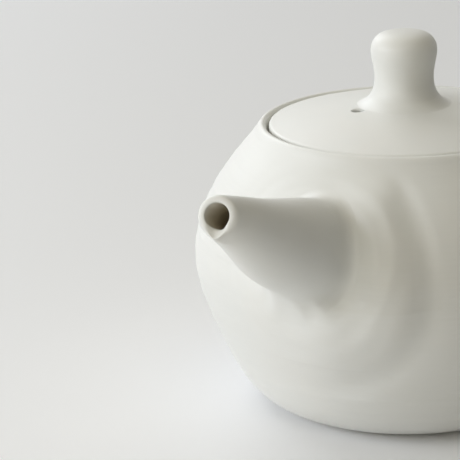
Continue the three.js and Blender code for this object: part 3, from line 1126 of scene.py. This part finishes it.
def glaze_material(name, glaze, rings, axis=None, bare=(), pools=(), luting=None, bore=False):
    """Satin porcelain glaze, with rings of a spacing and a depth, square to an axis.

    Bare and pools are bands of clay and of thick glaze, luting is the frame of a limb wiped onto the
    piece, and bore paints a warm shade inside a limb's bore, darker deep in.
    """
    groups = shared_groups()
    material = bpy.data.materials.new(name)
    material.use_nodes = True
    tree = material.node_tree
    shader = tree.nodes["Principled BSDF"]
    place = add_node(tree, "TexCoord").outputs["Object"]
    turned = place if axis is None else mapped(tree, place, axis)
    spacing, depth = rings
    thrown = use_group(tree, groups["Throwing rings"], {"Vector": turned, "Spacing": spacing, "Depth": depth})
    skin = use_group(tree, groups["Glaze skin"], {"Vector": place})
    height = plus(tree, thrown["Height"], skin["Height"])
    if luting is not None:
        around = use_group(tree, groups["Luting rings"], {"Vector": mapped(tree, place, luting)})
        height = plus(tree, height, around["Height"])
    tone = use_group(tree, groups["Glaze tone"], {
        "Vector": place, "Thin": glaze.thin_colour, "Thick": glaze.thick_colour,
        "Pooling": masked(tree, groups, place, pools) or 0.0, "Roughness": glaze.roughness,
    })
    colour, rough = tone["Color"], tone["Roughness"]
    shader.inputs["Coat Weight"].default_value = glaze.coat
    shader.inputs["Coat Roughness"].default_value = glaze.coat_roughness
    shader.inputs["IOR"].default_value = GLAZE_IOR
    # Painted shade inside the bore: the bore layer mixes in the warm shade colour
    if bore:
        inside = add_node(tree, "Attribute", attribute_name="bore").outputs["Fac"]
        colour = blended(tree, inside, colour, tuple(glaze.bore_shade_colour))
    clay = masked(tree, groups, place, bare)
    if clay:
        colour = blended(tree, clay, colour, tuple(glaze.clay_colour))
        dry = {"Value": clay, "To Min": rough, "To Max": CLAY_ROUGHNESS}
        rough = add_node(tree, "MapRange", dry).outputs["Result"]
        grit = times(tree, noise_value(tree, place, scale=2600.0), GRIT_DEPTH)
        height = plus(tree, height, times(tree, grit, clay))
        coat = ramped(tree, clay, 0.0, 1.0, glaze.coat, 0.0)
        tree.links.new(coat, shader.inputs["Coat Weight"])
    bump = add_node(tree, "Bump", {"Strength": 1.0, "Distance": 1.0, "Height": height})
    tree.links.new(colour, shader.inputs["Base Color"])
    tree.links.new(rough, shader.inputs["Roughness"])
    tree.links.new(bump.outputs["Normal"], shader.inputs["Normal"])
    return material


def mapped(tree, vector, frame_of_limb):
    """The vector in the frame of a limb, by a Mapping node."""
    back = frame_of_limb.inverted()
    made = add_node(tree, "Mapping", {
        "Vector": vector, "Location": back.to_translation(), "Rotation": back.to_euler("XYZ"),
    })
    return made.outputs[0]


def masked(tree, groups, place, bands):
    """The greatest of several band masks, or None without a band.

    A band is its low and high ends, its inner and outer radius, and how soft its edges are.
    """
    mask = None
    for low, high, inner, outer, softness in bands:
        band = use_group(tree, groups["Band"], {
            "Vector": place, "Low": low, "High": high, "Inner": inner, "Outer": outer, "Softness": softness,
        })["Mask"]
        mask = calculate(tree, "MAXIMUM", mask, band) if mask else band
    return mask


# A Mix node's sockets for colours
MIX_FACTOR, MIX_FIRST, MIX_SECOND, MIX_RESULT = 0, 6, 7, 2


def blended(tree, factor, first, second):
    """A colour mixed from two others."""
    colours = {MIX_FACTOR: factor, MIX_FIRST: first, MIX_SECOND: second}
    return add_node(tree, "Mix", colours, data_type="RGBA").outputs[MIX_RESULT]


SENSOR_WIDTH = 36


def make_camera(stage):
    """The camera at the viewing angle, which looks a little left of the pot's axis."""
    azimuth, heading = stage.camera_azimuth, stage.camera_azimuth + stage.camera_yaw
    place = Vector((
        stage.camera_distance * math.sin(azimuth),
        -stage.camera_distance * math.cos(azimuth),
        stage.camera_height,
    ))
    level, down = math.cos(stage.camera_pitch), math.sin(stage.camera_pitch)
    ahead = Vector((-math.sin(heading) * level, math.cos(heading) * level, -down))
    right = Vector((math.cos(heading), math.sin(heading), 0))
    above = right.cross(ahead)
    roll = stage.camera_roll
    across = right * math.cos(roll) + above * math.sin(roll)
    upright = across.cross(ahead)
    turn = Matrix((across, upright, -ahead)).transposed().to_4x4()
    data = bpy.data.cameras.new("studio_camera")
    data.sensor_width = SENSOR_WIDTH
    data.lens = stage.camera_lens
    camera = bpy.data.objects.new("studio_camera", data)
    camera.matrix_world = Matrix.Translation(place) @ turn
    bpy.context.scene.collection.objects.link(camera)
    bpy.context.scene.camera = camera


def seen_directly(tree):
    """1 for what the camera, a reflection or a transparent part sees, 0 for lighting."""
    ray = add_node(tree, "LightPath").outputs
    gloss = calculate(tree, "MAXIMUM", ray["Is Glossy Ray"], ray["Is Transmission Ray"])
    return calculate(tree, "MAXIMUM", ray["Is Camera Ray"], gloss)


FLOOR_ROUGHNESS, FLOOR_GLOSS = 0.9, 0.1
# Distances from the pot between which the floor turns into the backdrop
FLOOR_FADE = (0.62, 2.0)


def make_floor(stage):
    """A wide plain floor, which fades into the backdrop far from the pot."""
    shape = bmesh.new()
    bmesh.ops.create_grid(shape, x_segments=2, y_segments=2, size=stage.floor_size / 2)
    material = bpy.data.materials.new("floor_white")
    material.use_nodes = True
    tree = material.node_tree
    shader = tree.nodes["Principled BSDF"]
    shader.inputs["Base Color"].default_value = stage.floor_colour
    shader.inputs["Roughness"].default_value = FLOOR_ROUGHNESS
    shader.inputs["Specular IOR Level"].default_value = FLOOR_GLOSS
    place = add_node(tree, "TexCoord").outputs["Object"]
    distance = add_node(tree, "VectorMath", {0: place}, operation="LENGTH").outputs["Value"]
    far = times(tree, ramped(tree, distance, *FLOOR_FADE), seen_directly(tree))
    backdrop = add_node(tree, "Emission", {"Color": stage.backdrop_colour}).outputs[0]
    faded = add_node(tree, "MixShader", {0: far, 1: shader.outputs[0], 2: backdrop}).outputs[0]
    tree.links.new(faded, tree.nodes["Material Output"].inputs["Surface"])
    floor = finished(shape, "studio_floor", material)


COOL, WARM = (0.92, 0.95, 1), (1, 0.94, 0.77)

# Each lamp's turn from the camera's left towards the back and its rise in degrees, then its distance,
# width and height in metres, and its colour
LAMPS = {
    "window": (-10, 22, 0.8, 0.5, 0.4, COOL),
    "back": (60, 35, 1.3, 0.9, 0.9, COOL),
    "front": (-60, 20, 1.3, 0.8, 0.6, WARM),
    "overhead": (0, 90, 1.4, 2, 2, WARM),
}


def make_lamp(stage, kind):
    """A soft lamp aimed at the pot."""
    turn, rise, distance, width, height, colour = LAMPS[kind]
    heading = stage.camera_azimuth + stage.camera_yaw
    left = Vector((-math.cos(heading), -math.sin(heading), 0))
    ahead = Vector((-math.sin(heading), math.cos(heading), 0))
    turn, rise = math.radians(turn), math.radians(rise)
    level = left * math.cos(turn) + ahead * math.sin(turn)
    way = level * math.cos(rise) + Vector((0, 0, math.sin(rise)))
    name = kind + "_light"
    data = bpy.data.lights.new(name, "AREA")
    data.shape = "RECTANGLE"
    data.size, data.size_y = width, height
    data.energy = getattr(stage, kind + "_power")
    data.color = colour
    lamp = bpy.data.objects.new(name, data)
    aim = Vector((0, 0, stage.camera_height / 5))
    facing = way.to_track_quat("Z", "Y").to_matrix().to_4x4()
    lamp.matrix_world = Matrix.Translation(way * distance + aim) @ facing
    bpy.context.scene.collection.objects.link(lamp)


def make_lights(stage):
    """A window on the left, helped by lamps in front, behind and overhead, and a pale surround."""
    for kind in LAMPS:
        make_lamp(stage, kind)
    world = bpy.data.worlds.new("studio_surround")
    bpy.context.scene.world = world
    world.use_nodes = True
    tree = world.node_tree
    background = tree.nodes["Background"]
    background.inputs["Color"].default_value = stage.backdrop_colour
    tree.links.new(seen_directly(tree), background.inputs["Strength"])


def place_piece(piece, body, node):
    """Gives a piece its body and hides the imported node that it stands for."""
    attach(piece, body)
    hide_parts(node)


# The bare ring under the pot: its low and high ends, inner and outer radius, and softness
FOOT_BAND = (-0.001, 0.0002, 0.0265, 0.0317, 0.0003)


class KYUSU_OT_body(bpy.types.Operator):
    """Make the thrown pot"""

    bl_idname = "kyusu.body"
    bl_label = "Pot body"

    def execute(self, context):
        scene = context.scene
        pot, limbs, glaze = scene.kyusu_pot, scene.kyusu_limbs, scene.kyusu_glaze
        seat, gallery = pot.seat_height, pot.seat_radius
        bare = [
            FOOT_BAND,
            (seat - 0.0005, seat + 0.0002, pot.neck_radius, gallery, 0.0002),
        ]
        pools = [(seat, seat + 0.0012, gallery - 0.0006, gallery, 0.0004)]
        material = glaze_material(
            "pot_glaze", glaze, rings=(0.0031, 0.00002), bare=bare, pools=pools, luting=spout_frame(limbs),
        )
        piece = make_body(pot, limbs, material)
        place_piece(piece, "pot", "body")
        return {"FINISHED"}


class KYUSU_OT_spout(bpy.types.Operator):
    """Make the spout and flare its foot onto the pot"""

    bl_idname = "kyusu.spout"
    bl_label = "Spout"

    def execute(self, context):
        scene = context.scene
        limbs = scene.kyusu_limbs
        material = glaze_material(
            "spout_glaze", scene.kyusu_glaze, axis=spout_frame(limbs), rings=(0.0024, 0.00001), bore=True,
        )
        piece = make_spout(scene.kyusu_pot, limbs, material)
        place_piece(piece, "pot", "spout")
        return {"FINISHED"}


class KYUSU_OT_strainer(bpy.types.Operator):
    """Make the pierced strainer behind the spout"""

    bl_idname = "kyusu.strainer"
    bl_label = "Strainer"

    def execute(self, context):
        scene = context.scene
        material = glaze_material("strainer_glaze", scene.kyusu_glaze, rings=(0.003, 0.0))
        piece = make_strainer(scene.kyusu_pot, scene.kyusu_limbs, scene.kyusu_strainer, material)
        place_piece(piece, "pot", "strainer")
        return {"FINISHED"}


class KYUSU_OT_handle(bpy.types.Operator):
    """Make the hollow side handle"""

    bl_idname = "kyusu.handle"
    bl_label = "Handle"

    def execute(self, context):
        scene = context.scene
        limbs = scene.kyusu_limbs
        slope = Matrix.Rotation(math.pi / 2 - limbs.handle_slope, 4, "Y")
        axis = Matrix.Translation(Vector(limbs.handle_root)) @ slope
        material = glaze_material("handle_glaze", scene.kyusu_glaze, axis=axis, rings=(0.0036, 0.000025))
        piece = make_handle(scene.kyusu_pot, limbs, material)
        place_piece(piece, "pot", "handle")
        return {"FINISHED"}


class KYUSU_OT_lid(bpy.types.Operator):
    """Make the lid with its skirt and air hole"""

    bl_idname = "kyusu.lid"
    bl_label = "Lid"

    def execute(self, context):
        scene = context.scene
        pot, lid = scene.kyusu_pot, scene.kyusu_lid
        seat = pot.seat_height
        bare = [(seat - 0.01, seat + 0.0006, lid.skirt_radius - 0.0027, 0.05, 0.0003)]
        material = glaze_material("lid_glaze", scene.kyusu_glaze, rings=(0.0028, 0.00001), bare=bare)
        piece = make_lid(pot, lid, material)
        place_piece(piece, "lid", "lid")
        return {"FINISHED"}


class KYUSU_OT_knob(bpy.types.Operator):
    """Make the knob on the lid's crown"""

    bl_idname = "kyusu.knob"
    bl_label = "Knob"

    def execute(self, context):
        scene = context.scene
        material = glaze_material("knob_glaze", scene.kyusu_glaze, rings=(0.0023, 0.000012))
        piece = make_knob(scene.kyusu_pot, scene.kyusu_lid, material)
        place_piece(piece, "lid", "knob")
        return {"FINISHED"}


class KYUSU_OT_stage(bpy.types.Operator):
    """Set the camera, the floor and the soft light"""

    bl_idname = "kyusu.stage"
    bl_label = "Studio"

    def execute(self, context):
        stage = context.scene.kyusu_stage
        context.scene.view_settings.view_transform = "Standard"
        make_camera(stage)
        make_floor(stage)
        make_lights(stage)
        return {"FINISHED"}


class KYUSU_PT_sidebar(bpy.types.Panel):
    """The pieces of the kyusu, in the order they are made"""

    bl_idname = "KYUSU_PT_sidebar"
    bl_label = "Kyusu"
    bl_space_type = "VIEW_3D"
    bl_region_type = "UI"
    bl_category = "Kyusu"

    def draw(self, context):
        for operator in OPERATORS:
            self.layout.operator(operator.bl_idname)


OPERATORS = (
    KYUSU_OT_body, KYUSU_OT_spout, KYUSU_OT_strainer, KYUSU_OT_handle,
    KYUSU_OT_lid, KYUSU_OT_knob, KYUSU_OT_stage,
)
SETTINGS = {
    "kyusu_pot": PotSettings, "kyusu_limbs": LimbSettings, "kyusu_strainer": StrainerSettings,
    "kyusu_lid": LidSettings, "kyusu_glaze": GlazeSettings, "kyusu_stage": StageSettings,
}


def register():
    for kind in (*SETTINGS.values(), *OPERATORS, KYUSU_PT_sidebar):
        bpy.utils.register_class(kind)
    for name, settings in SETTINGS.items():
        setattr(bpy.types.Scene, name, PointerProperty(type=settings))


def unregister():
    for name in SETTINGS:
        delattr(bpy.types.Scene, name)
    for kind in reversed((*SETTINGS.values(), *OPERATORS, KYUSU_PT_sidebar)):
        bpy.utils.unregister_class(kind)


def main():
    register()
    bpy.ops.kyusu.body()
    bpy.ops.kyusu.spout()
    bpy.ops.kyusu.strainer()
    bpy.ops.kyusu.handle()
    bpy.ops.kyusu.lid()
    bpy.ops.kyusu.knob()
    bpy.ops.kyusu.stage()


if __name__ == "__main__":
    main()
